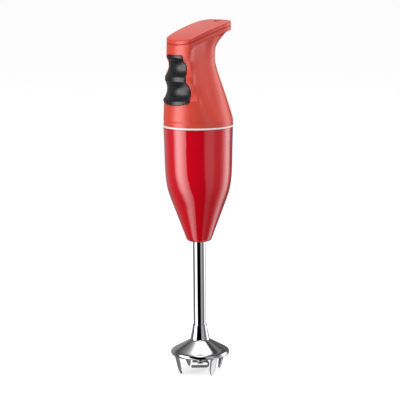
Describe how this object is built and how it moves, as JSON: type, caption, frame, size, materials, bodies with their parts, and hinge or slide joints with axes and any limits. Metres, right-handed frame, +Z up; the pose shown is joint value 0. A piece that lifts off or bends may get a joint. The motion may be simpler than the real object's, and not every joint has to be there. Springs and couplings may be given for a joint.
{
  "type": "immersion blender",
  "caption": "Stick immersion blender: beaked grip with finger-scoop switches, tapered motor housing, slim drive tube, and a pronged guard around a pull-off blade.",
  "frame": {"origin": "on the spin axis of the drive spindle, at the level of the four prong tips", "axes": "+Z up along the spin axis to the grip, -Y towards the finger switches, +Y towards the beak with the hanging hole, symmetric grip about X=0"},
  "size_m": [0.0662, 0.0662, 0.336],
  "materials": {
    "grip_red": "satin",
    "housing_red": "high gloss",
    "ring_white": "satin",
    "cover_black": "satin rubber",
    "chrome": "mirror polish",
    "steel": "satin",
    "laminated_iron": "laminated",
    "copper": "enamelled wire",
    "carbon": "pressed carbon",
    "board_green": "satin",
    "grey_plastic": "moulded",
    "brass": "machined",
    "plunger_white": "moulded"
  },
  "bodies": {
    "body": {"handle_housing": "grip_red", "top_lid": "grip_red", "motor_housing": "housing_red", "trim_ring": "ring_white", "switch_cover": "cover_black", "cord_inlet_bush": "cover_black", "shaft_seal": "cover_black", "blade_guard": "chrome", "shaft_tube": "chrome", "lower_bearing": "steel", "upper_bearing": "steel", "front_tie_bolt": "steel", "rear_tie_bolt": "steel", "left_brush_spring": "steel", "right_brush_spring": "steel", "stator_core": "laminated_iron", "front_field_coil": "copper", "rear_field_coil": "copper", "left_carbon_brush": "carbon", "right_carbon_brush": "carbon", "power_triac": "carbon", "circuit_board": "board_green", "lower_bearing_plate": "grey_plastic", "upper_bearing_plate": "grey_plastic", "brush_carrier": "grey_plastic", "tube_collar": "grey_plastic", "suppression_capacitor": "grey_plastic", "terminal_block": "grey_plastic", "upper_microswitch": "grey_plastic", "lower_microswitch": "grey_plastic", "left_brush_holder": "brass", "right_brush_holder": "brass", "upper_shaft_bush": "brass", "lower_shaft_bush": "brass"},
    "drive": {"motor_shaft": "steel", "armature_core": "laminated_iron", "lower_winding": "copper", "upper_winding": "copper", "commutator": "copper", "cooling_fan": "grey_plastic", "drive_coupling": "grey_plastic", "drive_spindle": "steel", "drive_pin": "steel"},
    "blade": {"blade": "steel"},
    "upper_button": {"upper_button": "cover_black", "upper_switch_plunger": "plunger_white"},
    "lower_button": {"lower_button": "cover_black", "lower_switch_plunger": "plunger_white"}
  },
  "joints": [
    {"name": "drive_spin", "type": "hinge", "parent": "body", "child": "drive", "pos_m": [0, 0, 0], "axis": [0, 0, 1], "continuous": true},
    {"name": "blade_pull_off", "type": "slide", "parent": "drive", "child": "blade", "axis": [0, 0, -1], "range_m": [0, 0.03]},
    {"name": "upper_button_press", "type": "slide", "parent": "body", "child": "upper_button", "axis": [0, 1, 0], "range_m": [0, 0.0015], "stiffness_N_per_m": 1500, "springref_m": -0.001},
    {"name": "lower_button_press", "type": "slide", "parent": "body", "child": "lower_button", "axis": [0, 1, 0], "range_m": [0, 0.0015], "stiffness_N_per_m": 1500, "springref_m": -0.001}
  ]
}
